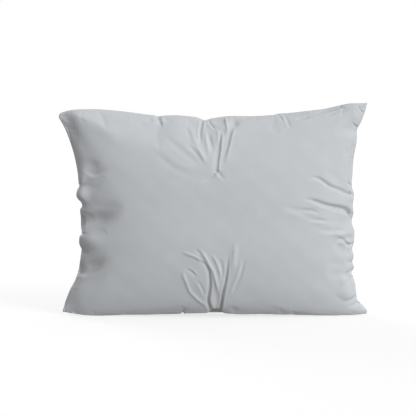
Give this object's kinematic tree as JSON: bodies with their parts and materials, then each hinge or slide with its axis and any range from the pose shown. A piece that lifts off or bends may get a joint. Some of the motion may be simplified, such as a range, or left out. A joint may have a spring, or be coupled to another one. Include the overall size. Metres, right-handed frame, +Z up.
{
  "type": "bed pillow",
  "caption": "Rectangular fibre-filled bed pillow in a plain sateen cover with a zip in one short end, standing on its long edge.",
  "frame": {"origin": "centre of the flat foot that the pillow stands on, in the plane of its seams", "axes": "+X along the long seams towards the zipped end, +Y from the front face to the back face, +Z up across the short seams"},
  "size_m": [0.722, 0.1802, 0.496],
  "materials": {
    "cover_sateen": "matte",
    "cover_thread": "matte",
    "zip_tape": "matte",
    "zip_coil": "satin",
    "zinc_alloy": "satin",
    "label_satin": "satin",
    "ticking_cotton": "matte",
    "ticking_thread": "matte",
    "polyester_fibre": "matte"
  },
  "bodies": {
    "cover": {"cover_front_panel": "cover_sateen", "cover_back_panel": "cover_sateen", "cover_overlock_top": "cover_thread", "cover_overlock_bottom": "cover_thread", "cover_overlock_left": "cover_thread", "cover_overlock_right_upper": "cover_thread", "cover_overlock_right_lower": "cover_thread", "topstitch_front": "cover_thread", "topstitch_back": "cover_thread", "bartack_upper": "cover_thread", "bartack_lower": "cover_thread", "zip_tape_front": "zip_tape", "zip_tape_back": "zip_tape", "zip_coil_front": "zip_coil", "zip_coil_back": "zip_coil", "zip_stop_closed_front": "zinc_alloy", "zip_stop_closed_back": "zinc_alloy", "zip_stop_open": "zinc_alloy", "cover_care_label": "label_satin", "ticking_front": "ticking_cotton", "ticking_back": "ticking_cotton", "ticking_overlock_top": "ticking_thread", "ticking_overlock_bottom": "ticking_thread", "ticking_overlock_left": "ticking_thread", "ticking_overlock_right": "ticking_thread", "fibre_fill": "polyester_fibre", "ticking_care_label": "label_satin"},
    "slider": {"zip_slider": "zinc_alloy"},
    "pull": {"zip_pull": "zinc_alloy"}
  },
  "joints": [
    {"name": "zip_slider_travel", "type": "slide", "parent": "cover", "child": "slider", "axis": [0, 0, 1], "range_m": [0, 0.308]},
    {"name": "zip_pull_swing", "type": "hinge", "parent": "slider", "child": "pull", "pos_m": [0.32755, 0, 0.0908], "axis": [0, -1, 0], "range_deg": [0, 165]}
  ]
}
